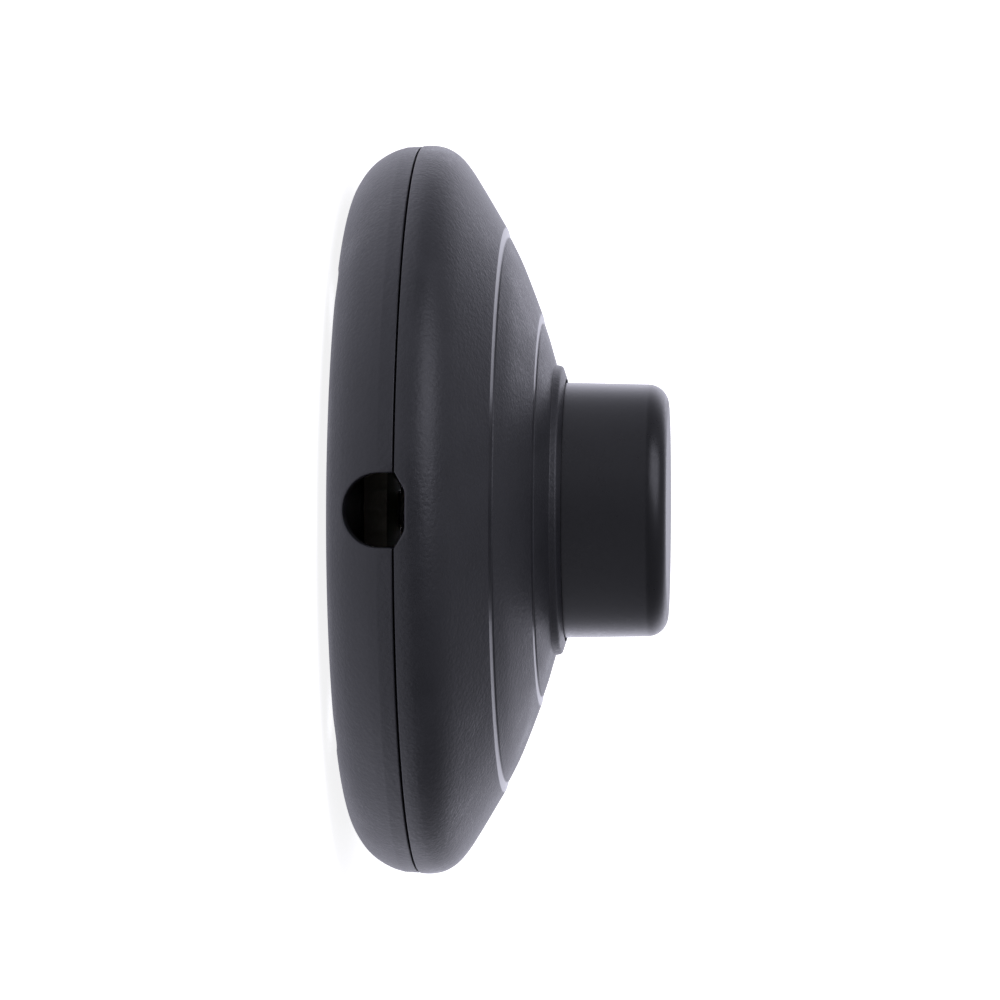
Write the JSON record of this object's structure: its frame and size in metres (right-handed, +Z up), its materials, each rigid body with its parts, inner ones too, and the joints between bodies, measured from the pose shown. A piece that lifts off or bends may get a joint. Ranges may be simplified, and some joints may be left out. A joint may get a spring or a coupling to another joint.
{
  "type": "in-line foot switch",
  "caption": "Round in-line foot switch: stepped domed cover over a shallow base, a cable opening across the parting line on two sides, and a tall push button that springs back.",
  "frame": {"origin": "centre of the underside of the rubber feet, on the button's axis", "axes": "+Z up along the button's axis; -Y and +Y are the two cable openings; +X is the side of the through link"},
  "size_m": [0.065, 0.065, 0.0285],
  "materials": {
    "shell_plastic": "black moulded plastic with a fine matt spark-eroded texture",
    "button_plastic": "black moulded plastic, smooth satin",
    "acetal": "natural white, smooth",
    "insulator": "cream moulded insulator, satin",
    "clamp_plastic": "dark grey, matt",
    "foot_rubber": "black rubber, matt",
    "brass": "stamped and machined, bright",
    "zinc_steel": "zinc plated",
    "spring_steel": "drawn spring wire and strip"
  },
  "bodies": {
    "housing": {"base_shell": "shell_plastic", "cover_shell": "shell_plastic", "contact_carrier": "insulator", "rotor_pin": "zinc_steel", "spring_washer": "zinc_steel", "return_spring": "spring_steel", "index_spring": "spring_steel", "index_spring_rivet": "brass", "fixed_contact_in": "brass", "fixed_contact_out": "brass", "terminal_in": "brass", "terminal_out": "brass", "terminal_screw_in": "zinc_steel", "terminal_screw_out": "zinc_steel", "neutral_link": "brass", "neutral_screw_in": "zinc_steel", "neutral_screw_out": "zinc_steel", "cord_clamp_in": "clamp_plastic", "cord_clamp_out": "clamp_plastic", "clamp_screw_in_left": "zinc_steel", "clamp_screw_in_right": "zinc_steel", "clamp_screw_out_left": "zinc_steel", "clamp_screw_out_right": "zinc_steel", "carrier_screw_1": "zinc_steel", "carrier_screw_2": "zinc_steel", "housing_screw_1": "zinc_steel", "housing_screw_2": "zinc_steel", "housing_screw_3": "zinc_steel", "housing_screw_4": "zinc_steel", "rubber_foot_1": "foot_rubber", "rubber_foot_2": "foot_rubber", "rubber_foot_3": "foot_rubber", "rubber_foot_4": "foot_rubber"},
    "button": {"push_button": "button_plastic", "plunger": "acetal"},
    "rotor": {"rotor": "acetal", "contact_bridge": "brass"}
  },
  "joints": [
    {"name": "button_press", "type": "slide", "parent": "housing", "child": "button", "axis": [0, 0, -1], "range_m": [0, 0.004], "stiffness_N_per_m": 600, "springref_m": -0.004, "deforming": ["return_spring"]},
    {"name": "rotor_turn", "type": "hinge", "parent": "housing", "child": "rotor", "pos_m": [0, 0, 0.0074], "axis": [0, 0, 1], "range_deg": [0, 40]}
  ],
  "couplings": [
    {"joint": "rotor_turn", "follows": "button_press", "rad_per_m": 174.5}
  ]
}
